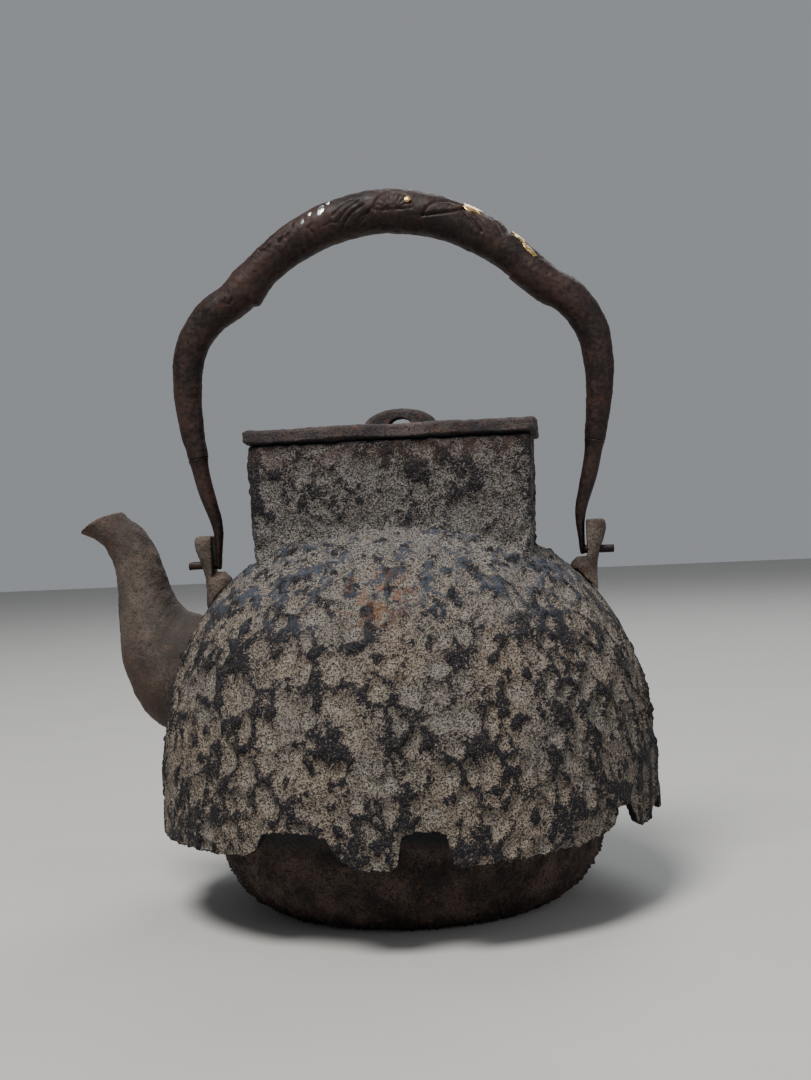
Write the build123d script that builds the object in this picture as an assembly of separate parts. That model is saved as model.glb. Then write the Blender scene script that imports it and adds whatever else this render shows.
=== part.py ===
"""Cast iron kettle with a rectangular neck, a ragged skirt over a separate round bottom pan, a beaked
spout, a flat lid with an arched knob, and a hollow swinging bail handle with inlaid metal leaves.

Units are millimetres. +Z is up and the origin is the centre of the base's flat face. The spout points
along -X, the bail swings about the X direction, and the front is -Y.
"""

import os
from math import atan2, cos, degrees, pi, radians, sin, tan

from build123d import *

# ---------------------------------------------------------------- driving dimensions
WALL = 3.0  # cast wall of shell, neck and pan
OVERCUT = 1.0  # how far a cutter runs past the face that it opens
OVERLAP = 0.2  # how far joined blocks run into each other

SHELL_R = 85.0  # outside radius of the skirt
SHELL_LOW_Z = 28.0  # where the dome's side is upright
SHELL_RISE = 100.0  # from there to the dome's top, if the neck weren't there
SHELL_POWER = 2.6  # of the superellipse: 2 is an ellipse, more is squarer
SHELL_STEPS = 14

SKIRT_EDGE_Z = 27.6
NOTCH_TOP_Z = 37.5
NOTCH_CORNER_R = 2.5
NOTCH_CUT_DEPTH = 12.0
# Gaps in the skirt's edge as (first azimuth, last azimuth, how far the top lies under NOTCH_TOP_Z).
# Azimuth 0 is the front and 90 is +X.
SKIRT_NOTCHES = (
    (-27.5, -11.0, 0.0),
    (3.0, 13.5, 0.3),
    (54.0, 62.5, 0.2),
    (74.0, 83.0, 3.5),
    (113.0, 127.0, 0.8),
    (148.0, 155.0, 2.5),
    (171.0, 188.0, 0.2),
    (214.0, 222.0, 1.5),
    (243.0, 259.0, 3.0),
    (274.5, 281.0, 4.5),
)

NECK_X, NECK_Y = 93.5, 60.0  # outside, at the top
NECK_TOP_Z = 155.4
NECK_LOW_Z = 104.0  # inside the dome
NECK_DRAFT = 1.2  # degrees, narrower downwards
NECK_CORNER_R = 2.5

PAN_BASE_R = 44.8
PAN_SIDE = (62.6, 12.6)  # a point of the pan's rounded side, as (r, z)
PAN_FLARE = (67.0, 28.0)  # where the side turns out towards the shell
PAN_FLOOR = 3.4
PAN_INNER_FLARE, PAN_INNER_SIDE, PAN_INNER_BASE_R = (63.6, 29.6), (59.2, 13.4), 43.3
PAN_FOOT_TANGENT, PAN_FLARE_TANGENT = (1.0, 0.18), (0.1, 1.0)
PAN_RIM_WIDTH = 3.4
PAN_RIM_Z = 47.0
SEAM_CLEARANCE = 0.6  # between the pan's rim and the shell, filled by the lute
LUTE_LOW_Z, LUTE_TOP_Z = 41.0, 46.4
LUTE_LIP = 3.0  # how far the lute spreads inwards under the pan's flare
LUTE_GAP = 0.03

BAIL_SHIFT = -0.8  # the bail and its lugs stand this far off the kettle's axis, along X
PIVOT_Z = 116.3
LEG_X = 61.9  # middle of the bail's end, on the inner side of the lug's ear
PIN_R = 1.4
PIN_CLEARANCE = 0.09
PIN_TIP_X = 73.8
EAR_X = 64.7  # the ear's inner face
SEAT_TOP_Z = 114.0  # ridge of the seat under the bail's end
SEAT_SLOPE = 27.0  # degrees, down from the ridge to each side, so that the bail can lie down
SEAT_CUT_HALF_Y, SEAT_CUT_HEIGHT, SEAT_CUT_X = 12.0, 30.0, 20.0
# Lug sections as (x, z, half length along X, half width along Y).
LUG_SECTIONS = (
    (61.6, 98.0, 4.7, 5.6),
    (62.8, 108.0, 5.0, 5.4),
    (64.5, 117.0, 4.9, 5.1),
    (65.9, 122.0, 5.2, 4.9),
    (66.4, 126.5, 4.6, 4.3),
)
LUG_EDGE_R = 1.6
LUG_HOLE_X, LUG_HOLE_LENGTH = 68.0, 14.0
LUG_TENON_R, LUG_TENON_LENGTH = 3.2, 9.0
LUG_TENON_X = 62.2
LUG_TENON_RISE = 2.0  # how far it stands above the dome, inside the lug
LUG_TENON_GAP = 0.02

LID_X, LID_Y = 96.4, 62.0
LID_SHIFT = 0.5  # the plate overhangs the neck more on its +X side
LID_UNDER_Z = 156.1
LID_TOP_Z = 160.8
LID_LAND = 1.4  # the rebate round the underside's edge
LID_RIM_DEPTH = 5.0
LID_RIM_WALL = 2.4
LID_RIM_GAP = 1.0
LID_CORNER_R, LID_CHAMFER = 2.5, 0.6

KNOB_X, KNOB_HEIGHT, KNOB_Y = 25.4, 6.5, 8.5
KNOB_HOLE_X, KNOB_HOLE_HEIGHT = 8.2, 3.2
KNOB_SHIFT = 2.0  # how far the knob stands off the middle, along X
KNOB_EDGE_R = 1.6
KNOB_TENON_R, KNOB_TENON_GAP = 1.7, 0.05
KNOB_TENON_X = 8.2
KNOB_TENON_END = 0.8  # peened end below the washer
WASHER_R, WASHER_THICK = 3.4, 0.9

# The bail's centreline as (x, z, thickness), from the middle of its top to the +X lug.
BAIL_STATIONS = (
    (0.0, 235.5, 15.6),
    (16.0, 233.2, 14.9),
    (31.0, 226.8, 14.1),
    (43.5, 217.9, 12.8),
    (53.0, 209.0, 13.4),
    (62.4, 202.2, 12.6),
    (69.0, 192.6, 11.6),
    (71.3, 180.5, 10.4),
    (70.8, 167.0, 9.0),
    (68.8, 153.5, 7.3),
    (65.6, 139.0, 5.2),
    (62.5, 127.5, 4.0),
    (LEG_X, 121.0, 4.3),
    (LEG_X, 117.0, 3.8),
    (LEG_X, 114.7, 2.4),
)
WELD_STATION = 9  # where the hollow bow ends and the solid leg starts
BOW_WALL = 1.8
TANG_LENGTH = 11.0
TANG_CLEARANCE = 0.3

INLAY_PROUD = 0.25
INLAY_DEPTH = 0.55
INLAY_CUT = 14.0  # how far a leaf-shaped prism reaches forward
# Inlaid pieces as (x, z, length, width, tilt of the long axis in degrees), on the bail's front face.
GOLD_INLAYS = (
    (8.2, 237.8, 2.3, 2.1, 0.0),
    (30.2, 234.0, 5.4, 2.4, -26.0),
    (46.0, 222.9, 4.8, 1.9, -50.0),
    (49.0, 218.2, 4.8, 1.9, -46.0),
)
SILVER_INLAYS = (
    (-21.8, 236.0, 4.0, 2.6, 72.0),
    (-25.7, 235.0, 1.9, 1.6, 60.0),
    (-28.2, 232.5, 2.0, 1.4, 72.0),
    (-19.4, 238.2, 1.6, 1.2, 30.0),
)

# Spout sections as (x, z, direction of the bore in degrees, half height, half width).
SPOUT_SECTIONS = (
    (-69.2, 76.3, 163.0, 21.3, 18.2),
    (-82.1, 81.9, 159.0, 19.9, 16.6),
    (-89.1, 92.4, 147.0, 16.2, 13.4),
    (-91.0, 103.6, 123.0, 10.8, 10.2),
    (-92.0, 114.8, 105.0, 8.6, 8.0),
    (-96.4, 125.5, 113.0, 7.8, 7.2),
    (-101.2, 130.0, 117.0, 7.3, 6.7),
    (-107.0, 134.9, 116.0, 10.4, 7.2),
)
SPOUT_BEND = 3  # the section where the wide root passes into the narrow throat
SPOUT_WALL = 2.4
SPOUT_OVERRUN = 1.5  # how far the bore runs past each end of the outside
SPOUT_RIM_LOW = (-112.9, 128.9)  # tip of the beak
SPOUT_RIM_HIGH = (-97.4, 136.0)  # back of the mouth
SPOUT_CUT_BOX = (120.0, 80.0, 40.0)  # larger than all that stands above the mouth


# ---------------------------------------------------------------- shared shapes
def shell_z(r, inset=0.0):
    """Height of the dome at radius r, for the outside or, with an inset, the inside."""
    share = 1 - (r / (SHELL_R - inset)) ** SHELL_POWER
    return SHELL_LOW_Z + (SHELL_RISE - inset) * max(share, 0.0) ** (1 / SHELL_POWER)


def shell_r(z, inset=0.0):
    """Radius of the dome at height z."""
    share = 1 - (max(z - SHELL_LOW_Z, 0.0) / (SHELL_RISE - inset)) ** SHELL_POWER
    return (SHELL_R - inset) * max(share, 0.0) ** (1 / SHELL_POWER)


def dome(inset, low_z):
    """The solid inside the dome's outside surface, or inside its inside surface."""
    top = SHELL_LOW_Z + SHELL_RISE - inset
    angles = [i * pi / 2 / SHELL_STEPS for i in range(SHELL_STEPS + 1)]
    points = [
        (
            (SHELL_R - inset) * cos(a) ** (2 / SHELL_POWER),
            SHELL_LOW_Z + (SHELL_RISE - inset) * sin(a) ** (2 / SHELL_POWER),
        )
        for a in angles[:-1]
    ]
    points.append((0.0, top))
    with BuildPart() as made:
        with BuildSketch(Plane.XZ):
            with BuildLine():
                Polyline((0, top), (0, low_z), (SHELL_R - inset, low_z), points[0])
                Spline(*points, tangents=((0, 1), (-1, 0)))
            make_face()
        revolve(axis=Axis.Z)
    return made.part


def ring_of(points):
    """A solid of revolution from an (r, z) outline with straight sides."""
    with BuildPart() as made:
        with BuildSketch(Plane.XZ):
            with BuildLine():
                Polyline(*points, close=True)
            make_face()
        revolve(axis=Axis.Z)
    return made.part


def oval(x, z, direction, half_height, half_width):
    """A flat oval face across the XZ plane at (x, z), square to a direction given in degrees."""
    a = radians(direction)
    plane = Plane(origin=(x, 0, z), x_dir=(0, 1, 0), z_dir=(cos(a), 0, sin(a)))
    return plane * (Circle(half_height) if half_width == half_height else Ellipse(half_width, half_height))


def lofted(sections):
    return loft([oval(*section) for section in sections])


def directed(stations):
    """Adds to each (x, z, thickness) station the direction of the line through its neighbours."""
    made = []
    for i, (x, z, thick) in enumerate(stations):
        (x0, z0, _), (x1, z1, _) = stations[max(i - 1, 0)], stations[min(i + 1, len(stations) - 1)]
        made.append((x, z, degrees(atan2(z1 - z0, x1 - x0)), thick / 2))
    return made


def whole_bail():
    """All directed stations of the bail, from the -X lug over the top to the +X lug."""
    left = [(-x, z, thick) for x, z, thick in reversed(BAIL_STATIONS[1:])]
    return directed([(x + BAIL_SHIFT, z, thick) for x, z, thick in (*left, *BAIL_STATIONS)])


def rod(stations, change=0.0):
    """A round rod through directed stations, made thicker all over by change."""
    return lofted([(x, z, d, r + change, r + change) for x, z, d, r in stations])


# ---------------------------------------------------------------- kettle
def notch_cutters():
    """Wedges that cut the gaps in the skirt's edge."""
    cutters = []
    for first, last, under in SKIRT_NOTCHES:
        top = NOTCH_TOP_Z - under
        mid, half = radians((first + last) / 2), radians((last - first) / 2)
        width = 2 * SHELL_R * sin(half)
        height = top - SKIRT_EDGE_Z + 4 * OVERCUT
        block = Box(width, NOTCH_CUT_DEPTH, height, align=(Align.CENTER, Align.CENTER, Align.MAX))
        corner_r = min(NOTCH_CORNER_R, width / 4)
        block = fillet(block.edges().filter_by(Axis.Y).group_by(Axis.Z)[-1], corner_r)
        place = (SHELL_R * sin(mid), -SHELL_R * cos(mid), top)
        cutters.append(Location(place, (0, 0, degrees(mid))) * block)
    return cutters


def neck_block(change, top_z):
    """The neck's outside, or its inside when change is negative, as a tapering block."""
    face = Plane((0, 0, top_z)) * RectangleRounded(
        NECK_X + 2 * change, NECK_Y + 2 * change, max(NECK_CORNER_R + change, 1.0)
    )
    return extrude(face, amount=-(top_z - NECK_LOW_Z), taper=NECK_DRAFT)


def make_body_shell(spout_passage):
    outside = dome(0, SKIRT_EDGE_Z) + neck_block(0, NECK_TOP_Z)
    inside = dome(WALL, SKIRT_EDGE_Z - OVERCUT) + neck_block(-WALL, NECK_TOP_Z + OVERCUT)
    shell = outside - inside
    for cutter in notch_cutters():
        shell -= cutter
    shell -= spout_passage
    for side in (-1, 1):
        shell -= lug_tenon(side, LUG_TENON_R + LUG_TENON_GAP)
    return shell


def pan_rim_r():
    return shell_r(PAN_RIM_Z, WALL) - SEAM_CLEARANCE


def make_bottom_pan():
    """A shallow round pan whose rim flares out to meet the shell."""
    outer = ((PAN_BASE_R, 0), PAN_SIDE, PAN_FLARE)
    inner = (PAN_INNER_FLARE, PAN_INNER_SIDE, (PAN_INNER_BASE_R, PAN_FLOOR))
    rim_low, rim_top = (pan_rim_r(), PAN_RIM_Z - PAN_RIM_WIDTH), (pan_rim_r(), PAN_RIM_Z)
    foot_x, foot_z = PAN_FOOT_TANGENT
    flare_x, flare_z = PAN_FLARE_TANGENT
    with BuildPart() as pan:
        with BuildSketch(Plane.XZ):
            with BuildLine():
                Polyline((0, PAN_FLOOR), (0, 0), outer[0])
                Spline(*outer, tangents=((foot_x, foot_z), (flare_x, flare_z)))
                Polyline(outer[-1], rim_low, rim_top, inner[0])
                Spline(*inner, tangents=((-flare_x, -flare_z), (-foot_x, -foot_z)))
                Line(inner[-1], (0, PAN_FLOOR))
            make_face()
        revolve(axis=Axis.Z)
    return pan.part


def make_seam_lute():
    """The putty of lacquer and iron filings that seals the pan's rim into the shell."""
    rim_r, rim_low_z = pan_rim_r(), PAN_RIM_Z - PAN_RIM_WIDTH
    flare = (rim_low_z - PAN_FLARE[1]) / (rim_r - PAN_FLARE[0])
    return ring_of(
        (
            (rim_r - LUTE_LIP, rim_low_z - LUTE_LIP * flare - LUTE_GAP),
            (rim_r + LUTE_GAP, rim_low_z - LUTE_GAP),
            (rim_r + LUTE_GAP, LUTE_TOP_Z),
            (shell_r(LUTE_TOP_Z, WALL) - LUTE_GAP, LUTE_TOP_Z),
            (shell_r(LUTE_LOW_Z, WALL) - LUTE_GAP, LUTE_LOW_Z),
        )
    )


def spout_solids():
    """The spout's outside and its bore, both running a little way into the kettle."""
    bore = []
    ends = (0, len(SPOUT_SECTIONS) - 1)
    for i, (x, z, direction, half_height, half_width) in enumerate(SPOUT_SECTIONS):
        past = SPOUT_OVERRUN * ((i == ends[1]) - (i == ends[0]))
        x += past * cos(radians(direction))
        z += past * sin(radians(direction))
        bore.append((x, z, direction, half_height - SPOUT_WALL, half_width - SPOUT_WALL))
    return tuple(
        lofted(made[: SPOUT_BEND + 1]) + lofted(made[SPOUT_BEND:]) for made in (SPOUT_SECTIONS, bore)
    )


def make_spout(outside, bore):
    """A curved spout that starts on the dome's outside and ends in a slanting beaked mouth."""
    (low_x, low_z), (high_x, high_z) = SPOUT_RIM_LOW, SPOUT_RIM_HIGH
    along_rim = (high_x - low_x, 0, high_z - low_z)
    rim = Plane(origin=(low_x, 0, low_z), x_dir=along_rim, z_dir=(low_z - high_z, 0, high_x - low_x))
    above = rim * Box(*SPOUT_CUT_BOX, align=(Align.CENTER, Align.CENTER, Align.MIN))
    spout = outside - above - dome(0, 0) - bore
    return spout.solids().sort_by(SortBy.VOLUME)[-1]


def lug_tenon(side, radius):
    """The peg that holds a lug in the shell's wall."""
    top = shell_z(LUG_TENON_X) + LUG_TENON_RISE
    return Location((side * LUG_TENON_X + BAIL_SHIFT, 0, top)) * Cylinder(
        radius, LUG_TENON_LENGTH, align=(Align.CENTER, Align.CENTER, Align.MAX)
    )


def seat_cutter(side):
    """Clears the inner side of a lug above a ridged seat, where the bail's end turns."""
    reach, height = SEAT_CUT_HALF_Y, SEAT_CUT_HEIGHT
    drop = reach * tan(radians(SEAT_SLOPE))
    outline = ((0, 0), (reach, -drop), (reach, height), (-reach, height), (-reach, -drop))
    ear = Plane(origin=(side * EAR_X + BAIL_SHIFT, 0, SEAT_TOP_Z), x_dir=(0, 1, 0), z_dir=(1, 0, 0))
    return extrude(ear * make_face(Polyline(*outline, close=True)), amount=-side * SEAT_CUT_X)


def make_lug(side):
    """A stump with an ear: the bail's end stands on the inner seat and its pin passes through the ear."""
    stump = loft(
        [Plane((side * x + BAIL_SHIFT, 0, z)) * Ellipse(rx, ry) for x, z, rx, ry in LUG_SECTIONS]
    )
    stump = fillet(stump.edges().group_by(Axis.Z)[-1], LUG_EDGE_R)
    lug = stump - dome(0, 0) + lug_tenon(side, LUG_TENON_R) - seat_cutter(side)
    hole_place = Location((side * LUG_HOLE_X + BAIL_SHIFT, 0, PIVOT_Z), (0, 90, 0))
    return lug - hole_place * Cylinder(PIN_R + PIN_CLEARANCE, LUG_HOLE_LENGTH)


# ---------------------------------------------------------------- lid
def make_lid_plate():
    """A flat plate with a rebated underside and the rim that keeps it in the neck."""
    plate = Location((LID_SHIFT, 0, LID_UNDER_Z)) * Box(
        LID_X, LID_Y, LID_TOP_Z - LID_UNDER_Z, align=(Align.CENTER, Align.CENTER, Align.MIN)
    )
    plate = fillet(plate.edges().filter_by(Axis.Z), LID_CORNER_R)
    plate = chamfer(plate.faces().sort_by(Axis.Z)[-1].edges(), LID_CHAMFER)
    plate += Location((0, 0, NECK_TOP_Z)) * Box(
        NECK_X - 2 * LID_LAND,
        NECK_Y - 2 * LID_LAND,
        LID_UNDER_Z - NECK_TOP_Z + OVERLAP,
        align=(Align.CENTER, Align.CENTER, Align.MIN),
    )
    rim_x = NECK_X - 2 * (WALL + LID_RIM_GAP)
    rim_y = NECK_Y - 2 * (WALL + LID_RIM_GAP)
    rim = Box(rim_x, rim_y, LID_RIM_DEPTH + OVERLAP, align=(Align.CENTER, Align.CENTER, Align.MIN))
    rim -= Box(rim_x - 2 * LID_RIM_WALL, rim_y - 2 * LID_RIM_WALL, 4 * LID_RIM_DEPTH)
    plate += Location((0, 0, NECK_TOP_Z - LID_RIM_DEPTH)) * rim
    for side in (-1, 1):
        hole = Cylinder(KNOB_TENON_R + KNOB_TENON_GAP, 4 * (LID_TOP_Z - NECK_TOP_Z))
        plate -= Location((side * KNOB_TENON_X + KNOB_SHIFT, 0, LID_TOP_Z)) * hole
    return plate


def arch(width, height, depth):
    """A half-elliptical arch standing on the lid."""
    face = Plane.XZ * Ellipse(width / 2, height)
    block = extrude(face, amount=depth / 2, both=True)
    block -= Box(2 * width, 2 * depth, 2 * height, align=(Align.CENTER, Align.CENTER, Align.MAX))
    return Location((KNOB_SHIFT, 0, LID_TOP_Z)) * block


def make_lid_knob():
    """An arched loop with two tenons that pass through the lid and are peened over washers."""
    loop = arch(KNOB_X, KNOB_HEIGHT, KNOB_Y)
    crown = [e for e in loop.edges() if e.center().Z > LID_TOP_Z + OVERLAP]
    loop = fillet(crown, KNOB_EDGE_R)
    loop -= arch(KNOB_HOLE_X, KNOB_HOLE_HEIGHT, KNOB_Y + 2 * OVERCUT)
    tenon_low = NECK_TOP_Z - WASHER_THICK - KNOB_TENON_END
    for side in (-1, 1):
        loop += Location((side * KNOB_TENON_X + KNOB_SHIFT, 0, tenon_low)) * Cylinder(
            KNOB_TENON_R, LID_TOP_Z - tenon_low + OVERLAP, align=(Align.CENTER, Align.CENTER, Align.MIN)
        )
    return loop


def make_knob_washers():
    washers = []
    for side in (-1, 1):
        disc = Cylinder(WASHER_R, WASHER_THICK, align=(Align.CENTER, Align.CENTER, Align.MAX))
        disc -= Cylinder(KNOB_TENON_R + KNOB_TENON_GAP, 4 * WASHER_THICK)
        washers.append(Location((side * KNOB_TENON_X + KNOB_SHIFT, 0, NECK_TOP_Z)) * disc)
    return Compound(children=washers)


# ---------------------------------------------------------------- bail handle
def bow_stations():
    middle = len(BAIL_STATIONS) - 1
    return whole_bail()[middle - WELD_STATION : middle + WELD_STATION + 1]


def leg_stations(side):
    """The stations of one leg, from its weld to the lug."""
    if side > 0:
        return whole_bail()[len(BAIL_STATIONS) - 1 + WELD_STATION :]
    return whole_bail()[: len(BAIL_STATIONS) - WELD_STATION][::-1]


def tang(side):
    """A peg that runs up from the leg's end into the hollow bow."""
    x, z, direction, r = leg_stations(side)[0]
    a = radians(direction if side < 0 else direction + 180)
    plane = Plane(origin=(x, 0, z), z_dir=(cos(a), 0, sin(a)))
    radius = r - BOW_WALL - TANG_CLEARANCE
    return plane * Cylinder(radius, TANG_LENGTH, align=(Align.CENTER, Align.CENTER, Align.MIN))


def leaf(x, z, length, width, tilt):
    """A leaf-shaped prism that points at the bail's front face."""
    face = Plane.XZ * Location((x, z, 0), (0, 0, tilt)) * Ellipse(length / 2, width / 2)
    return extrude(face, amount=INLAY_CUT)


def make_inlays(sizes, skin):
    return Compound(children=[(skin & leaf(*size)).solids()[0] for size in sizes])


def make_handle_bow(inlays):
    bow = rod(bow_stations()) - rod(bow_stations(), -BOW_WALL)
    for inlay in inlays:
        bow -= inlay
    return bow


def make_handle_leg(side):
    """A solid forged end: tang, tapering leg, and the pin that turns outwards through the lug."""
    length = PIN_TIP_X - LEG_X
    middle = side * (LEG_X + length / 2) + BAIL_SHIFT
    pin = Location((middle, 0, PIVOT_Z), (0, 90, 0)) * Cylinder(PIN_R, length)
    return rod(leg_stations(side)) + tang(side) + pin


def write(shape, node):
    export_step(shape, os.path.join("parts", node + ".step"))


def main():
    os.makedirs("parts", exist_ok=True)
    spout_outside, spout_bore = spout_solids()
    write(make_body_shell(spout_bore), "body_shell")
    write(make_bottom_pan(), "bottom_pan")
    write(make_seam_lute(), "seam_lute")
    write(make_spout(spout_outside, spout_bore), "spout")
    write(make_lug(-1), "lug_left")
    write(make_lug(1), "lug_right")
    write(make_lid_plate(), "lid_plate")
    write(make_lid_knob(), "lid_knob")
    write(make_knob_washers(), "knob_washers")
    skin = rod(bow_stations(), INLAY_PROUD) - rod(bow_stations(), -INLAY_DEPTH)
    gold, silver = make_inlays(GOLD_INLAYS, skin), make_inlays(SILVER_INLAYS, skin)
    write(gold, "gold_inlays")
    write(silver, "silver_inlays")
    write(make_handle_bow((*gold.solids(), *silver.solids())), "handle_bow")
    write(make_handle_leg(-1), "handle_leg_left")
    write(make_handle_leg(1), "handle_leg_right")


if __name__ == "__main__":
    main()
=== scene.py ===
"""Looks of the cast iron kettle: rough castings, a carved bail with inlays, and their materials.

Shapes are worked out in millimetres in the part's own frame and turned into metres when a mesh
is made.
"""

import math

import bpy
import numpy as np
from mathutils import Matrix, Vector, noise


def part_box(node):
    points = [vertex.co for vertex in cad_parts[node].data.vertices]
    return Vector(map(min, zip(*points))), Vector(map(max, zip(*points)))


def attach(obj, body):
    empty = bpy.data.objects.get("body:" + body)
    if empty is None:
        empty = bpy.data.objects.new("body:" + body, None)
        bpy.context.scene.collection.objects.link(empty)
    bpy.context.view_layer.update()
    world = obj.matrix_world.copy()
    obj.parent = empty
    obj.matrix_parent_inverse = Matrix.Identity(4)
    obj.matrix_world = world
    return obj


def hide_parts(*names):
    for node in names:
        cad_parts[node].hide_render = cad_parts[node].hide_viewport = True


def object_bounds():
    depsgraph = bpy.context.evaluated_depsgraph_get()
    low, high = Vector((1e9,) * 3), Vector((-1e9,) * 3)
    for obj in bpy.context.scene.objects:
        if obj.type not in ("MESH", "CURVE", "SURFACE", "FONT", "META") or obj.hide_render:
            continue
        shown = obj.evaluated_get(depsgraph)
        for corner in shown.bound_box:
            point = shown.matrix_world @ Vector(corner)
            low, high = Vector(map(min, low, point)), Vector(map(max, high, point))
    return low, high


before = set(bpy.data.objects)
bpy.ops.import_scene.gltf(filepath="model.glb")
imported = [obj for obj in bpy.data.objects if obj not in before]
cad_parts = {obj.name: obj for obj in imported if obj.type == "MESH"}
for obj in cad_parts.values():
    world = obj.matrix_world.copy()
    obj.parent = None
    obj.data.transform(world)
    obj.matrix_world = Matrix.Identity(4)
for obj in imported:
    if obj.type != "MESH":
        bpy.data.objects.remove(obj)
CAD_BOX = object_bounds()

MM = 0.001


def cad_box(node):
    """The lowest and highest corner of a CAD node in millimetres."""
    return [[c / MM for c in corner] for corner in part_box(node)]


# ---------------------------------------------------------------- sizes, in millimetres
SKIRT_R = cad_box("body_shell")[1][0]
NECK_TOP_Z = cad_box("body_shell")[1][2]
BAIL_TOP_Z = cad_box("handle_bow")[1][2]
LID_BOX = cad_box("lid_plate")
LID_UNDER_Z = 156.1  # of the plate's overhanging edge

SHELL_WALL = 3.0
SHELL_LOW_Z = 28.0
SHELL_TOP_Z = 128.0
SHELL_POWER = 2.6
SHELL_SINK = 1.1  # the rough surface lies this far inside the CAD surface on average
NECK_SINK = 0.25

NECK_HALF_X = 46.75
NECK_HALF_Y = 30.0
NECK_DRAFT = 0.0209  # narrowing per millimetre of depth
NECK_FOOT_Z = 118.0  # where the neck meets the dome
NECK_FILLET = 2.6
FOLD_Z = 46.0  # the wall runs straight down to the skirt's edge below this
DOME_R = 61.0  # the dome blends into the neck's rounded rectangle inside this

PIVOT_Z = 116.3
SEAT_SLOPE_X = 61.0  # the lug's seat slopes down inside this
PIN_BEND_X = 72.5  # where the pin leaves the lug
LEG_EAR_X = 64.0  # where the leg's outer face runs past the lug's ear
BAIL_SHIFT = -0.8  # the bail and its lugs stand this far off the kettle's axis, along X

NOISE_SEED = 7  # vector noise takes its seed from the clock otherwise

# The skirt's ragged edge as (azimuth, height). Azimuth 0 is the front and 90 is +X.
SKIRT_EDGE = (
    (-75.0, 28.6), (-60.0, 28.9), (-45.0, 29.2), (-36.0, 29.6), (-30.5, 30.4), (-28.4, 33.0),
    (-27.2, 36.8), (-24.0, 37.6), (-20.0, 37.9), (-15.0, 37.7), (-12.4, 36.6), (-11.2, 33.2),
    (-9.2, 30.2), (-6.2, 27.4), (0.6, 27.0), (2.0, 28.2), (2.5, 33.0), (3.1, 37.4),
    (6.0, 38.3), (9.6, 38.0), (12.0, 37.2), (12.6, 33.0), (13.0, 28.2), (15.5, 27.3),
    (30.0, 27.9), (43.0, 28.9), (51.0, 30.6), (53.0, 32.4), (54.2, 36.4), (56.4, 37.5),
    (60.0, 37.1), (61.6, 33.4), (62.8, 30.2), (66.0, 28.6), (71.5, 29.4), (73.6, 31.0),
    (75.0, 33.8), (79.0, 34.4), (82.2, 33.4), (83.8, 30.0), (86.0, 28.8), (100.0, 28.2),
    (110.0, 28.9), (112.6, 31.6), (114.4, 35.8), (120.0, 37.0), (125.4, 36.0), (127.0, 31.2),
    (129.0, 28.4), (138.0, 27.9), (145.6, 28.8), (148.6, 33.2), (151.6, 35.2), (154.2, 33.6),
    (155.8, 30.0), (158.2, 28.2), (166.0, 28.0), (169.8, 29.2), (171.6, 34.0), (174.0, 37.2),
    (180.0, 38.0), (185.6, 37.0), (188.0, 32.8), (189.8, 29.0), (193.0, 27.8), (205.0, 28.2),
    (211.8, 29.3), (214.6, 34.0), (218.2, 36.0), (221.2, 34.2), (223.0, 30.2), (226.0, 28.4),
    (236.0, 28.0), (241.6, 29.2), (244.0, 32.8), (248.6, 34.6), (255.8, 34.2), (259.0, 31.0),
    (261.4, 28.8), (271.0, 28.2), (275.0, 30.2), (277.5, 32.6), (280.0, 30.8), (282.0, 29.0),
)

# The bail's centreline as (x, z, thickness), from the middle of its top to the +X lug.
BAIL_STATIONS = (
    (0.0, 235.5, 15.6),
    (16.0, 233.2, 14.9),
    (31.0, 226.8, 14.1),
    (43.5, 217.9, 12.8),
    (53.0, 209.0, 13.4),
    (62.4, 202.2, 12.6),
    (69.0, 192.6, 11.6),
    (71.3, 180.5, 10.4),
    (70.8, 167.0, 9.0),
    (68.8, 153.5, 7.3),
)

# Spout sections as (x, z, direction of the bore in degrees, half height, half width).
SPOUT_SECTIONS = (
    (-71.2, 77.1, 163.0, 21.1, 18.0),
    (-79.4, 80.1, 162.0, 20.6, 17.0),
    (-84.7, 84.1, 156.0, 19.0, 15.4),
    (-89.1, 92.4, 147.0, 16.2, 13.4),
    (-91.0, 103.0, 124.0, 11.0, 10.4),
    (-91.9, 112.6, 108.0, 8.8, 8.4),
    (-93.5, 119.9, 106.0, 8.1, 7.7),
    (-97.6, 127.2, 114.0, 7.5, 7.2),
    (-101.5, 130.3, 116.0, 7.3, 6.9),
    (-104.9, 132.6, 115.0, 8.2, 7.1),
)
SPOUT_WALL = 2.3
# Rust round the beak and along the underside, as (x, y, z, reach).
SPOUT_STAINS = (
    (-112.0, 0.0, 130.0, 22.0),
    (-104.0, 0.0, 120.0, 12.0),
    (-103.0, -6.0, 84.0, 17.0),
    (-94.0, -10.0, 68.0, 20.0),
)

# The pan's outside and inside as (r, z) points of its turned section.
PAN_OUTSIDE = (
    (0.0, 0.0), (44.6, 0.0), (49.0, 0.7), (54.0, 3.0), (59.0, 7.4), (62.6, 12.6), (65.4, 19.6),
    (67.0, 28.0), (70.0, 31.4), (78.0, 41.2), (80.1, 43.6),
)
PAN_INSIDE = (
    (80.1, 47.0), (76.0, 43.4), (65.6, 31.4), (63.6, 28.4), (60.2, 15.4), (54.6, 8.6), (43.4, 3.6),
    (0.0, 3.6),
)


# ---------------------------------------------------------------- numbers and meshes
def smooth(value, low, high):
    """0 below low, 1 above high, and smooth between."""
    t = np.clip((np.asarray(value, float) - low) / (high - low), 0.0, 1.0)
    return t * t * (3 - 2 * t)


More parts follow.
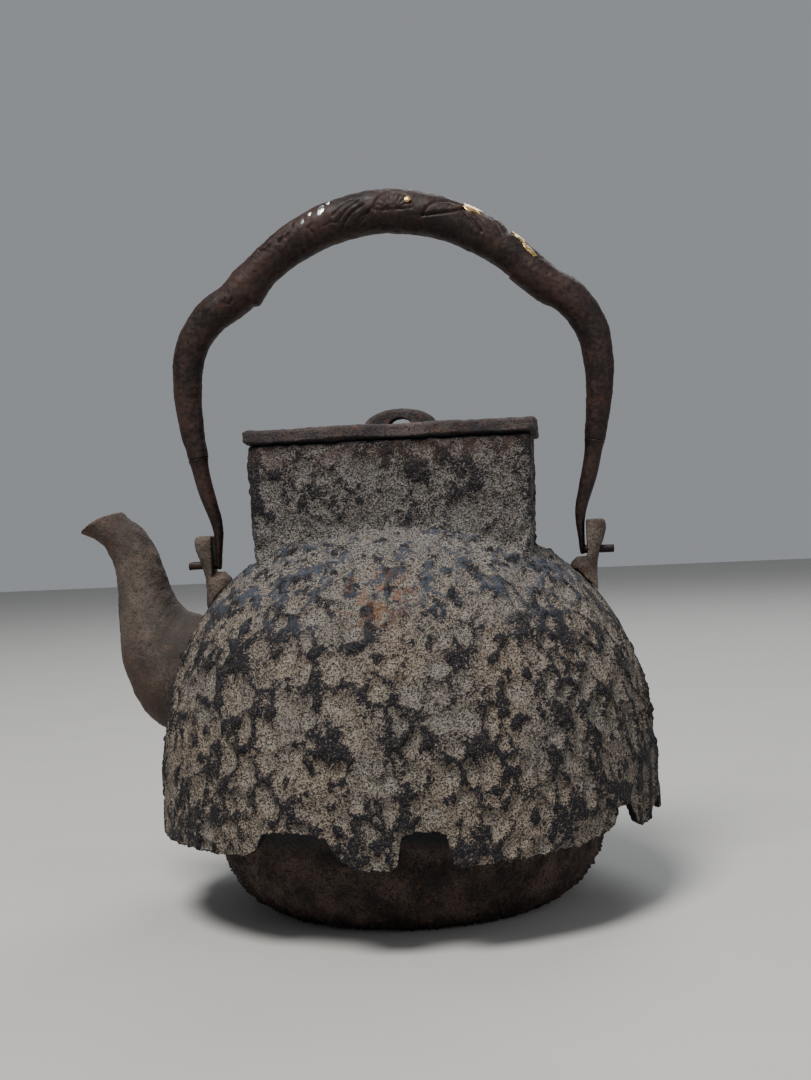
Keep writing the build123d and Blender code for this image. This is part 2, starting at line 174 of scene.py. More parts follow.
def catmull(points, count):
    """count points on a smooth curve through the rows of points, evenly spaced along it."""
    p = np.asarray(points, float)
    p = np.vstack([2 * p[0] - p[1], p, 2 * p[-1] - p[-2]])
    fine = []
    for i in range(1, len(p) - 2):
        a, b, c, d = p[i - 1 : i + 3]
        square = 2 * a - 5 * b + 4 * c - d
        cube = 3 * b - a - 3 * c + d
        for t in np.linspace(0, 1, 24, endpoint=False):
            fine.append(0.5 * (2 * b + (c - a) * t + square * t**2 + cube * t**3))
    fine.append(p[-2])
    fine = np.array(fine)
    step = np.linalg.norm(np.diff(fine[:, :2], axis=0), axis=1)
    run = np.concatenate([[0], np.cumsum(step)])
    want = np.linspace(0, run[-1], count)
    return np.column_stack([np.interp(want, run, fine[:, k]) for k in range(p.shape[1])])


def each(function, points):
    """function at each point of an array of points in millimetres, in the array's own shape."""
    flat = points.reshape(-1, 3).tolist()
    return np.array([function(p) for p in flat]).reshape(points.shape[:-1] + (-1,))


def grid_normals(points):
    """Unit normals of a grid of points whose columns close on themselves."""
    across = np.roll(points, -1, 1) - np.roll(points, 1, 1)
    along = np.gradient(points, axis=0)
    n = np.cross(across, along)
    return n / np.maximum(np.linalg.norm(n, axis=-1, keepdims=True), 1e-9)


def grid_faces(rows, columns, close_rows=False):
    """Quads of a grid whose columns close on themselves, and its rows too if close_rows."""
    at = np.arange(rows * columns).reshape(rows, columns)
    below = at if close_rows else at[:-1]
    above = np.roll(at, -1, 0) if close_rows else at[1:]
    quads = np.stack([below, np.roll(below, -1, 1), np.roll(above, -1, 1), above], axis=-1)
    return quads.reshape(-1, 4).tolist()


def new_piece(name, vertices, faces, body, material, values=None):
    """A mesh piece from points in millimetres, with optional named values at its points."""
    mesh = bpy.data.meshes.new(name)
    mesh.from_pydata((np.asarray(vertices).reshape(-1, 3) * MM).tolist(), [], faces)
    for key, data in (values or {}).items():
        layer = mesh.attributes.new(key, "FLOAT", "POINT")
        layer.data.foreach_set("value", np.asarray(data, np.float32).ravel())
    mesh.validate()
    mesh.shade_smooth()
    piece = bpy.data.objects.new(name, mesh)
    bpy.context.scene.collection.objects.link(piece)
    piece.data.materials.append(material)
    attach(piece, body)
    return piece


# ---------------------------------------------------------------- relief of the surfaces
HOLLOW_SIZE = 7.4  # of the scooped hollows in the casting
HOLLOW_TALL = 0.72  # the hollows are taller than wide, by the inverse of this


def ramp(value, low, high):
    """0 below low, 1 above high, and smooth between, for one number."""
    t = min(max((value - low) / (high - low), 0.0), 1.0)
    return t * t * (3 - 2 * t)


def casting_relief(p):
    """Height of the rough casting at p in millimetres, and how worn and dark its skin is there."""
    x, y, z = p
    broad = noise.noise_vector((x / 10, y / 10, z / 10))
    small = noise.noise_vector((x / 3.4, y / 3.4, z / 3.4))
    u, v, w = [(c + 3.0 * broad[i] + 1.1 * small[i]) / HOLLOW_SIZE for i, c in enumerate(p)]
    near = noise.voronoi((u, v, w * HOLLOW_TALL))[0]
    gap = near[1] - near[0]
    ridge = 1 - ramp(gap, 0.0, 0.5)
    bowl = 1 - ramp(near[0], 0.15, 0.75)
    gate = ramp(noise.noise((x / 12 + 31, y / 12 + 7, z / 12 - 5)), -0.5, 0.35)
    lump = ramp(noise.fractal((x / 4.6, y / 4.6 + 17, z / 5.6), 0.9, 2.1, 3), 0.1, 0.75)
    swell = noise.fractal((x / 8 + 3, y / 8, z / 8), 0.9, 2.1, 2)
    grit = noise.fractal((x / 1.5, y / 1.5, z / 1.5 + 9), 0.8, 2.1, 3)
    ridge *= 0.3 + 0.7 * gate
    height = 1.2 * ridge - 0.9 * bowl + 1.0 * lump + 0.4 * swell + 0.22 * grit
    dark = 0.5 * ridge + 0.55 * lump - 0.25 * bowl + 0.1 * swell
    return height + 0.15, dark


def rust_relief(size, height):
    """A function that gives the height of scaly rust at a point."""

    def relief(p):
        x, y, z = p
        return height * noise.fractal((x / size, y / size, z / size), 0.7, 2.2, 4)

    return relief


# ---------------------------------------------------------------- body shell
def shell_z(r, inset=0.0):
    """Height of the dome at radius r, or of its inside at that inset."""
    rise = SHELL_TOP_Z - SHELL_LOW_Z - inset
    share = 1 - (np.asarray(r, float) / (SKIRT_R - inset)) ** SHELL_POWER
    return SHELL_LOW_Z + rise * np.maximum(share, 0) ** (1 / SHELL_POWER)


def shell_r(z, inset=0.0):
    """Radius of the dome and skirt at height z, or of their inside at that inset."""
    rise = SHELL_TOP_Z - SHELL_LOW_Z - inset
    share = 1 - (np.maximum(np.asarray(z, float) - SHELL_LOW_Z, 0) / rise) ** SHELL_POWER
    return (SKIRT_R - inset) * np.maximum(share, 0) ** (1 / SHELL_POWER)


def skirt_edge(azimuth):
    """Height of the skirt's ragged edge at azimuths in degrees."""
    known = np.array(SKIRT_EDGE)
    azimuth = (azimuth - known[0, 0]) % 360 + known[0, 0]
    return np.interp(azimuth, known[:, 0], known[:, 1], period=360)


def neck_reach(azimuth, inset, z):
    """How far the neck's rounded rectangle reaches from the axis at azimuths in radians."""
    draft = NECK_DRAFT * (NECK_TOP_Z - z)
    half_x = NECK_HALF_X - inset - draft
    half_y = NECK_HALF_Y - inset - draft
    s, c = np.abs(np.sin(azimuth)), np.abs(np.cos(azimuth))
    power = 26.0  # of the squarish outline, high enough to round only the corners
    return ((s / half_x) ** power + (c / half_y) ** power) ** (-1 / power)


BODY_COLUMNS = 960
NECK_CALM, NECK_PALE = 0.45, 0.4  # how much lower and lighter the relief is on the neck
SWEPT_HEIGHT = -0.3  # the highest lump in the legs' way
BOX_MARGIN = 0.08  # the casting stays this far inside the skirt's radius


def body_rows(azimuth):
    """Rows of (radius, height) for all azimuths, and how many of them are on the outside.

    They run from the skirt's edge over the dome and the neck, and back down inside.
    """
    edge = skirt_edge(np.degrees(azimuth))
    one = np.ones_like(azimuth)
    rows = []
    for t in np.linspace(0, 1, 26):
        z = edge + (FOLD_Z - edge) * t
        rows.append((shell_r(z), z))
    fold_r = float(shell_r(FOLD_Z))
    low = math.acos((fold_r / SKIRT_R) ** (SHELL_POWER / 2))
    high = math.acos((DOME_R / SKIRT_R) ** (SHELL_POWER / 2))
    for a in np.linspace(low, high, 84)[1:]:
        r = SKIRT_R * math.cos(a) ** (2 / SHELL_POWER)
        rows.append((r * one, float(shell_z(r)) * one))
    foot = neck_reach(azimuth, 0, NECK_FOOT_Z)
    fillet_r = foot + NECK_FILLET * 0.7
    for t in np.linspace(0, 1, 38)[1:]:
        r = DOME_R + (fillet_r - DOME_R) * t
        rows.append((r, shell_z(r)))
    low_z = shell_z(fillet_r) + NECK_FILLET * 0.5
    for t in np.linspace(0, 1, 44):
        z = low_z + (NECK_TOP_Z - 0.8 - low_z) * t
        rows.append((neck_reach(azimuth, 0, z), z))
    top = NECK_TOP_Z * one
    rows.append((neck_reach(azimuth, 0.25, NECK_TOP_Z), top - 0.2))
    rows.append((neck_reach(azimuth, 0.9, NECK_TOP_Z), top))
    outer = len(rows)
    rows.append((neck_reach(azimuth, SHELL_WALL - 0.5, NECK_TOP_Z), top))
    inner_foot = neck_reach(azimuth, SHELL_WALL, NECK_FOOT_Z)
    inner_low = shell_z(inner_foot, SHELL_WALL)
    for t in np.linspace(0, 1, 10):
        z = NECK_TOP_Z - 0.6 + (inner_low - NECK_TOP_Z + 0.6) * t
        rows.append((neck_reach(azimuth, SHELL_WALL, z), z))
    for t in np.linspace(0, 1, 10)[1:]:
        r = inner_foot + (DOME_R + 3 - inner_foot) * t
        rows.append((r, shell_z(r, SHELL_WALL)))
    for t in np.linspace(0, 1, 18)[1:]:
        z = float(shell_z(DOME_R + 3, SHELL_WALL)) * (1 - t) + FOLD_Z * t
        rows.append((shell_r(z, SHELL_WALL) * one, z * one))
    for t in np.linspace(0, 1, 8)[1:]:
        z = FOLD_Z + (edge + 0.5 - FOLD_Z) * t
        rows.append((shell_r(z, SHELL_WALL), z))
    rows.append((shell_r(edge, SHELL_WALL * 0.7), edge + 0.05))
    rows.append((shell_r(edge, SHELL_WALL * 0.3), edge))
    return rows, outer


def neck_darkening(points):
    """How much darker the neck is than the dome: most at its top and corners, least at its foot."""
    x, y, z = points[..., 0], points[..., 1], points[..., 2]
    on_neck = smooth(z, 123, 128)
    top = smooth(z, 146, 154)
    corner = smooth(np.abs(x), 40, 46) * smooth(np.abs(y), 24, 29)
    foot = smooth(z, 112, 121) * (1 - smooth(z, 126, 136))
    return on_neck * (0.06 + 0.1 * top + 0.25 * corner) - 0.12 * foot


def leg_clearance(x, z):
    """1 where a bail leg sweeps past the dome beside its lug, so that lumps are kept low there."""
    return smooth(np.abs(x), 50, 55) * smooth(z, 86, 94)


def make_body(material):
    """The shell's casting, with its hollows and lumps, ragged skirt and open neck."""
    azimuth = np.linspace(-math.pi, math.pi, BODY_COLUMNS, endpoint=False)
    rows, outer = body_rows(azimuth)
    r = np.array([row[0] for row in rows])
    z = np.array([row[1] for row in rows])
    points = np.stack([r * np.sin(azimuth), -r * np.cos(azimuth), z], axis=-1)
    normals = grid_normals(points)
    found = each(casting_relief, points[:outer])
    height, dark = found[..., 0], found[..., 1]
    on_neck = smooth(z[:outer], 121, 127)
    height = height * (1 - NECK_CALM * on_neck)
    dark = dark * (1 - NECK_PALE * on_neck) + neck_darkening(points[:outer])
    lift = np.zeros(r.shape)
    lift[:outer] = height - SHELL_SINK * (1 - on_neck) - NECK_SINK * on_neck
    swept = leg_clearance(points[:outer, :, 0], z[:outer])
    low = np.minimum(lift[:outer], SWEPT_HEIGHT)
    lift[:outer] = lift[:outer] * (1 - swept) + low * swept
    lift[outer - 1] *= 0.3
    lift[outer:] = 0.25 * each(rust_relief(4.0, 1.0), points[outer:])[..., 0]
    points = points + normals * lift[..., None]
    radial = np.linalg.norm(points[..., :2], axis=-1, keepdims=True)
    points[..., :2] *= np.minimum(1.0, (SKIRT_R - BOX_MARGIN) / np.maximum(radial, 1e-6))
    points[..., 2] = np.minimum(points[..., 2], NECK_TOP_Z)
    ragged = each(rust_relief(1.6, 0.8), points)[..., 0]
    near_edge = np.exp(-np.maximum(z - skirt_edge(np.degrees(azimuth)), 0) / 1.2)
    points[..., 2] += ragged * near_edge
    worn = np.zeros(r.shape)
    worn[:outer] = dark
    # painted shade: the shell's inside and the neck's top rim under the lid are marked to be
    # painted blue-black
    inside = smooth(z, NECK_TOP_Z - 1.1, NECK_TOP_Z - 0.3)
    inside[outer + 1 :] = 1
    faces = grid_faces(len(rows), BODY_COLUMNS, close_rows=True)
    values = {"dark": worn, "inside": inside}
    body = new_piece("cast_body", points, faces, "kettle", material, values)
    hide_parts("body_shell")


# ---------------------------------------------------------------- pan
PAN_COLUMNS = 800
CRUMBS_Z, CRUMBS_REACH = 15.0, 10.0  # the height that most of the rust crumbs cling to


def make_pan(material):
    """The round pan under the skirt, its outside thick with crumbs of rust."""
    outside = catmull(PAN_OUTSIDE, 130)
    inside = catmull(PAN_INSIDE, 50)
    profile = np.vstack([outside, inside])
    azimuth = np.linspace(0, 2 * math.pi, PAN_COLUMNS, endpoint=False)
    r, z = profile[:, :1], profile[:, 1:2]
    one = np.ones_like(azimuth)
    points = np.stack([r * np.sin(azimuth), -r * np.cos(azimuth), z * one], axis=-1)
    lift = np.zeros((len(profile), PAN_COLUMNS))
    rough = slice(0, len(outside))
    broad = each(rust_relief(4.0, 1.0), points[rough])[..., 0]
    grain = each(rust_relief(1.0, 1.0), points[rough])[..., 0]
    lift[rough] = 0.6 * broad + 0.75 * grain - 0.45
    belt = np.exp(-(((z[rough] - CRUMBS_Z) / CRUMBS_REACH) ** 2))
    crumbs = smooth(grain + 0.5 * broad, 0.6, 0.95) * belt
    lift[rough] += 0.5 * crumbs
    keep = smooth(r, 42.0, 50.0) * (1 - smooth(r, 68.0, 76.0))
    normals = grid_normals(points)
    points = points + normals * (lift * keep)[..., None]
    points[..., 2] = np.maximum(points[..., 2], 0.0)
    # painted shade: the pan's upper wall, under the skirt, is darkened to blue-black
    values = {"shade": smooth(z, 24.0, 36.0) * one}
    faces = grid_faces(len(profile), PAN_COLUMNS)
    pan = new_piece("round_pan", points, faces, "kettle", material, values)
    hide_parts("bottom_pan")


# ---------------------------------------------------------------- spout
SPOUT_ROWS, SPOUT_COLUMNS = 110, 112
SPOUT_LIP = ((0.5, 0.35), (1.4, 0.4), (2.0, 0.1))  # rounds of the mouth as (inset, rise)
LIP_WAY = (-0.42, 0.0, 0.9)


def make_spout(material):
    """The curved spout, open through its bore, with a slanting beak."""
    outside = catmull(SPOUT_SECTIONS, SPOUT_ROWS)
    turn = np.linspace(0, 2 * math.pi, SPOUT_COLUMNS, endpoint=False)
    towards_tip = np.clip(np.cos(turn - math.pi), 0, 1)

    def ring(section, wall, share):
        x, z, direction, half_h, half_w = section
        a = math.radians(direction)
        beak = smooth(share, 0.86, 1.0)
        up = np.array([-math.sin(a), 0, math.cos(a)])
        ahead = np.array([math.cos(a), 0, math.sin(a)])
        h = (half_h - wall) * np.cos(turn)
        w = (half_w - wall) * np.sin(turn) * (1 - 0.22 * beak * towards_tip**2)
        lip = beak * np.sin(turn) ** 2
        centre = np.array([x, 0, z])
        aside = np.array([0, 1.0, 0])
        return centre + h[:, None] * up + w[:, None] * aside + lip[:, None] * ahead

    shares = np.arange(SPOUT_ROWS) / (SPOUT_ROWS - 1)
    rings = [ring(section, 0.0, share) for section, share in zip(outside, shares)]
    rim = [ring(outside[-1], inset, 1.0) + rise * np.array(LIP_WAY) for inset, rise in SPOUT_LIP]
    inner = list(zip(outside, shares))[::-1][::3]
    bore = [ring(section, SPOUT_WALL, share) for section, share in inner]
    points = np.array(rings + rim + bore)
    normals = grid_normals(points)
    if np.mean(normals[SPOUT_ROWS // 2, :, 1] * np.sin(turn)) < 0:
        normals = -normals
    broad = each(rust_relief(5.0, 1.0), points)[..., 0]
    lumps = broad + 0.4 * each(rust_relief(1.3, 1.0), points)[..., 0]
    points = points + normals * (0.32 * lumps - 0.12)[..., None]
    points[..., 0] = np.maximum(points[..., 0], CAD_BOX[0][0] / MM)
    faces = grid_faces(len(points), SPOUT_COLUMNS, close_rows=True)
    spout = new_piece("beaked_spout", points, faces, "kettle", material)
    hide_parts("spout")


# ---------------------------------------------------------------- pieces grown from CAD nodes
def weathered(node, name, body, material, voxel, relief, soft=5, shade=None):
    """A copy of a CAD node with softened edges and a rough surface, in place of the node.

    relief gives a point's height along its normal, or its shift as (x, y, z). shade gives how dark
    points are from their heights.
    """
    copy = bpy.data.objects.new(name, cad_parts[node].data.copy())
    bpy.context.scene.collection.objects.link(copy)
    remesh = copy.modifiers.new("remesh", "REMESH")
    remesh.mode = "VOXEL"
    remesh.voxel_size = voxel * MM
    soften = copy.modifiers.new("soften", "SMOOTH")
    soften.factor = 0.5
    soften.iterations = soft
    bpy.context.view_layer.update()
    depsgraph = bpy.context.evaluated_depsgraph_get()
    mesh = bpy.data.meshes.new_from_object(copy.evaluated_get(depsgraph))
    bpy.data.objects.remove(copy)
    mesh.name = name
    count = len(mesh.vertices)
    points = np.zeros(count * 3)
    mesh.vertices.foreach_get("co", points)
    points = points.reshape(-1, 3) / MM
    normals = np.zeros(count * 3)
    mesh.vertex_normals.foreach_get("vector", normals)
    normals = normals.reshape(-1, 3)
    moved = np.array([relief(p) for p in points.tolist()])
    if moved.ndim == 1:
        points += normals * moved[:, None]
    else:
        points += moved
    points = np.clip(points, np.array(CAD_BOX[0]) / MM, np.array(CAD_BOX[1]) / MM)
    if shade:
        layer = mesh.attributes.new("shade", "FLOAT", "POINT")
        layer.data.foreach_set("value", shade(points[:, 2]))
    mesh.vertices.foreach_set("co", (points * MM).ravel())
    mesh.materials.clear()
    mesh.materials.append(material)
    mesh.update()
    mesh.shade_smooth()
    piece = bpy.data.objects.new(name, mesh)
    bpy.context.scene.collection.objects.link(piece)
    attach(piece, body)
    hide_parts(node)


LID_EDGE = 2.4  # width of the plate's edge that is worn from below


def lid_relief(p):
    """Moves the lid's points: the plate is wavy, with a chipped edge and scaly faces."""
    x, y, z = p
    wave = 0.4 * noise.noise((x / 17, y / 17, 0.4)) + 0.25 * noise.noise((x / 6, y / 6, 2.4))
    scale = 0.2 * noise.fractal((x / 2.2, y / 2.2, z / 2.2), 0.8, 2.0, 3)
    on_plate = 1.0 if z > NECK_TOP_Z + 0.1 else 0.0
    chip = -0.7 * max(0.0, noise.noise((x / 4 + 9, y / 4, 1.0)) - 0.05)
    low, high = LID_BOX
    edge_x = min(x - low[0], high[0] - x)
    edge_y = min(y - low[1], high[1] - y)
    push = chip + scale
    dx = math.copysign(push, x) if edge_x < 0.7 else 0.0
    dy = math.copysign(push, y) if edge_y < 0.8 else 0.0
    edge, down = min(edge_x, edge_y), high[2] - z
    under = ramp(down, 2.6, 4.4) if edge < LID_EDGE else 0.0
    corner = (1 - ramp(down, 0.0, 2.0)) * (1 - ramp(edge, 0.0, 2.0))
    rise = wave * 0.8 - 0.1 + 0.6 * under * (0.5 + wave) - 0.3 * corner
    return (dx, dy, on_plate * rise + scale)


def lid_shade(z):
    """Painted shade, dark in the rebate between the plate's edge and the neck."""
    return 1 - smooth(z, LID_UNDER_Z - 0.2, LID_UNDER_Z + 0.7)


STUMP_ROUGH = rust_relief(2.5, 0.22)
STUMP_SUNK = 0.9  # the lug's foot goes this far into the rough dome
SEAT_SLOPE = 0.9


def stump_relief(p):
    """Moves a lug's points: a rough skin, and a seat that slopes down towards the kettle's neck."""
    x, y, z = p
    lump = STUMP_ROUGH(p)
    inner = max(0.0, SEAT_SLOPE_X - abs(x - BAIL_SHIFT))
    slope = SEAT_SLOPE * inner * ramp(z, PIVOT_Z - 12, PIVOT_Z - 4)
    sunk = STUMP_SUNK * (1 - ramp(z, PIVOT_Z - 19, PIVOT_Z - 11))
    return (0.6 * lump, lump, 0.6 * lump - sunk - slope)


LEG_NARROW = 0.5  # share of the leg's width that goes at its lower end
PIN_BEND_LENGTH = 7.0
PIN_THIN = 0.35
PIN_DROOP = {-1: 1.5, 1: 0.9}  # by side


def leg_relief(side):
    """Moves a leg's points: a rough skin, an end that narrows towards the ear, and a bent pin."""
    rough = rust_relief(3.0, 0.12)

    def relief(p):
        x, y, z = p
        ear = LEG_EAR_X * side + BAIL_SHIFT
        inner = (ear - x) * side
        narrow = LEG_NARROW * (1 - ramp(z, PIVOT_Z + 2, PIVOT_Z + 17)) if inner > 0 else 0.0
        lump = rough(p) * (1 - ramp(x * side, LEG_EAR_X - 1, LEG_EAR_X))
        bent = ramp(x * side, PIN_BEND_X, PIN_BEND_X + PIN_BEND_LENGTH)
        bent *= 1 - ramp(z, PIVOT_Z + 4, PIVOT_Z + 8)
        droop = PIN_DROOP[side] * bent
        thin = -PIN_THIN * bent
        return (inner * narrow * side + 0.6 * lump, lump + thin * y, thin * (z - PIVOT_Z) - droop)

    return relief


# ---------------------------------------------------------------- bail
BAIL_ROWS, BAIL_COLUMNS = 560, 96
BAIL_TURN = np.linspace(0, 2 * math.pi, BAIL_COLUMNS, endpoint=False)


def bail_path():
    """The bow's centreline: its points, the way along it and outwards at each, and its radii."""
    right = np.array(BAIL_STATIONS)
    left = right[:0:-1] * np.array([-1, 1, 1])
    path = catmull(np.vstack([left, right]), BAIL_ROWS)
    centre = np.column_stack([path[:, 0] + BAIL_SHIFT, np.zeros(BAIL_ROWS), path[:, 1]])
    way = np.gradient(centre, axis=0)
    way /= np.linalg.norm(way, axis=1, keepdims=True)
    out = np.column_stack([-way[:, 2], np.zeros(BAIL_ROWS), way[:, 0]])
    return centre, way, out, path[:, 2] / 2


def bail_surface(lift=0.0):
    """The bow's surface as a grid; column 0 faces the front and angles turn towards the outside."""
    centre, _, out, radius = bail_path()
    front = np.array([0, -1.0, 0])
    ahead = np.cos(BAIL_TURN)[None, :, None] * front
    around = ahead + np.sin(BAIL_TURN)[None, :, None] * out[:, None, :]
    reach = radius[:, None] + lift
    return centre[:, None, :] + around * reach[..., None]


# Carved lines on the bail's front, each as its depth, its half width and its (x, z) places.
CARVED_LINES = (
    (0.55, 0.35, ((13.0, 232.0), (15.0, 234.8), (17.4, 236.6), (22.0, 236.8), (27.4, 234.8))),
    (0.75, 0.4, ((13.0, 231.8), (19.0, 232.3), (24.6, 233.0), (27.2, 233.9))),
    (0.7, 0.4, ((27.2, 234.2), (28.4, 231.6), (30.6, 228.8), (32.8, 225.2))),
    (0.6, 0.45, ((34.6, 234.0), (35.9, 231.6), (38.0, 228.0), (39.6, 224.6))),
    (0.4, 0.3, ((30.4, 232.4), (33.0, 229.4), (35.4, 225.8))),
    (0.6, 0.35, ((-14.4, 229.6), (-13.0, 231.8), (-10.8, 234.4), (-7.0, 236.8))),
    (0.6, 0.35, ((-9.8, 230.8), (-8.0, 232.6), (-5.2, 234.4))),
    (0.5, 0.3, ((-17.6, 233.8), (-14.4, 236.8), (-10.8, 238.6))),
    (0.5, 0.3, ((-12.4, 228.8), (-9.0, 230.2), (-6.2, 232.6), (-4.2, 235.4))),
    (0.4, 0.3, ((-16.0, 231.6), (-12.6, 235.4), (-8.8, 238.2))),
    (0.4, 0.3, ((-20.8, 230.4), (-18.2, 231.6), (-15.4, 231.0))),
    (0.5, 0.3, ((-24.4, 228.4), (-26.2, 230.0), (-25.0, 231.4))),
    (0.7, 0.45, ((-32.0, 232.0), (-32.8, 230.2))),
    (0.8, 0.5, ((-33.2, 229.0), (-34.0, 227.4))),
    (0.8, 0.5, ((-35.4, 227.6), (-36.6, 226.2))),
    (0.7, 0.5, ((-40.6, 225.2), (-42.0, 223.6), (-44.0, 224.0))),
    (0.45, 0.35, ((-30.2, 234.2), (-31.6, 233.4), (-33.6, 231.4), (-36.4, 229.4), (-39.8, 227.0))),
    (0.4, 0.3, ((-53.6, 207.4), (-54.8, 205.8), (-56.4, 206.2), (-56.2, 207.8))),
)
KNOT_TOP_Z = 215.0  # the knots are on the bow's shoulders, below this
CARVED_DEEPER = 1.35  # all the lines are deepened by this, so that the worn relief still reads
FLOWER_X, FLOWER_Z, FLOWER_R, FLOWER_PETALS = 3.2, 234.6, 6.4, 9


def line_distance(x, z, line):
    """Distance of points from a line through (x, z) places."""
    best = np.full(x.shape, 1e9)
    for (x0, z0), (x1, z1) in zip(line, line[1:]):
        dx, dz = x1 - x0, z1 - z0
        t = np.clip(((x - x0) * dx + (z - z0) * dz) / (dx * dx + dz * dz), 0, 1)
        best = np.minimum(best, np.hypot(x - x0 - t * dx, z - z0 - t * dz))
    return best


def flower_relief(x, z):
    """A half flower head with petals round a heart, carved into the bail."""
    dx, dz = x - FLOWER_X, z - FLOWER_Z
    away = np.hypot(dx, dz)
    angle = np.arctan2(dz, dx)
    petal = np.abs(np.sin(angle * FLOWER_PETALS))
    inside = (1 - smooth(away, FLOWER_R - 0.6, FLOWER_R)) * smooth(dz, -0.8, 0.2)
    grooves = -0.8 * (1 - petal**0.6) * smooth(away, 0.8, 2.0)
    rim = -0.7 * np.exp(-(((away - FLOWER_R) / 0.45) ** 2)) * smooth(dz, -0.8, 0.2)
    heart = -0.4 * np.exp(-((away - 1.4) ** 2) / 0.12)
    base = -0.55 * np.exp(-((dz / 0.45) ** 2)) * (1 - smooth(np.abs(dx), 3.0, 4.6))
    return inside * (grooves + heart + 0.15) + rim + base


def carving(points, radius):
    """Relief of the carving at the bow's surface points: on its front, and mirrored on its back."""
    x, y, z = points[..., 0], points[..., 1], points[..., 2]
    relief = np.zeros(x.shape)
    for way in (-1, 1):
        facing = smooth(way * y / radius[:, None], 0.02, 0.3)
        mirrored = BAIL_SHIFT - (x - BAIL_SHIFT) * way
        cut = flower_relief(mirrored, z)
        for deep, half, line in CARVED_LINES:
            away = line_distance(mirrored, z, line) / half
            cut = cut - CARVED_DEEPER * deep * np.exp(-(away**2))
        relief += cut * facing
    return relief


def hump(x, place, reach):
    """1 at a place along x, fading away beyond reach."""
    return np.exp(-(((x - place) / reach) ** 2))


def bail_swells(centre):
    """Uneven places of the bow: pinched knots at its shoulders and small steps of the forging."""
    x, z = centre[:, 0:1], centre[:, 2:3]
    outside = np.maximum(np.sin(BAIL_TURN)[None, :], 0)
    inside = np.maximum(-np.sin(BAIL_TURN)[None, :], 0)
    knot = 0.5 * hump(x - BAIL_SHIFT, 47, 3.5) * (z < KNOT_TOP_Z) * inside
    lap = smooth(-x, 43.0, 51.0) * (1 - smooth(-x, 51.0, 52.6)) * smooth(z, 190, 200)
    knot += 1.5 * lap * inside**2
    waist = -0.55 * hump(np.abs(x - BAIL_SHIFT), 55.0, 3.2) * outside
    notch = -0.7 * hump(x, 38.4, 0.9) * outside**2
    step = 0.5 * hump(x, 34.5, 2.0) * outside**2
    return knot + waist + notch + step


def make_bail(material):
    """The bail's bow, carved on its front and back."""
    centre, _, _, radius = bail_path()
    base = bail_surface()
    lumps = each(rust_relief(7.0, 1.0), base)[..., 0]
    scale = each(rust_relief(1.6, 1.0), base)[..., 0]
    skin = 0.28 * lumps + 0.1 * scale - 0.15
    points = bail_surface(skin + carving(base, radius) + bail_swells(centre))
    points[..., 2] = np.minimum(points[..., 2], BAIL_TOP_Z)
    faces = grid_faces(BAIL_ROWS, BAIL_COLUMNS)
    first = list(range(BAIL_COLUMNS))
    last = [(BAIL_ROWS - 1) * BAIL_COLUMNS + i for i in range(BAIL_COLUMNS)]
    faces += [first[::-1], last]
    bow = new_piece("carved_bow", points, faces, "bail", material)
    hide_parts("handle_bow")


# ---------------------------------------------------------------- inlays
# Leaves as (x, z, length, width, tilt of the long axis in degrees, how ragged).
GOLD_LEAVES = (
    (8.2, 237.8, 2.3, 2.1, 0.0, 0.1),
    (30.0, 233.9, 6.4, 3.0, -26.0, 0.9),
    (45.3, 223.6, 6.4, 1.5, -50.0, 0.5),
    (48.6, 218.6, 6.4, 1.5, -48.0, 0.5),
)
SILVER_LEAVES = (
    (-21.8, 236.0, 4.0, 2.6, 72.0, 0.35),
    (-25.7, 235.0, 1.9, 1.6, 60.0, 0.3),
    (-28.2, 232.5, 2.0, 1.4, 72.0, 0.3),
    (-19.4, 238.4, 1.6, 1.2, 30.0, 0.3),
)
LEAF_RINGS, LEAF_SPOKES = 7, 28
LEAF_CROWN, LEAF_EDGE = 0.3, 0.08  # how proud of the bow a leaf's middle and edge are
LEAF_SKIRT, LEAF_FOOT = -0.5, -0.6  # how deep its sides and underside go into the bow


def on_bail(x, z, lift):
    """A point on the bow's front, lift millimetres proud of it, that is seen at (x, z)."""
    centre, way, out, radius = bail_path()
    near = np.argmin(np.hypot(centre[:, 0] - x, centre[:, 2] - z))
    off = (x - centre[near, 0]) * out[near, 0] + (z - centre[near, 2]) * out[near, 2]
    r = radius[near] - 0.12
    share = min(max(off / r, -0.98), 0.98)
    across, ahead = share * (r + lift), math.sqrt(1 - share**2) * (r + lift)
    point = centre[near] + out[near] * across
    slide = (x - centre[near, 0]) * way[near, 0] + (z - centre[near, 2]) * way[near, 2]
    return point + way[near] * slide - np.array([0, ahead, 0])


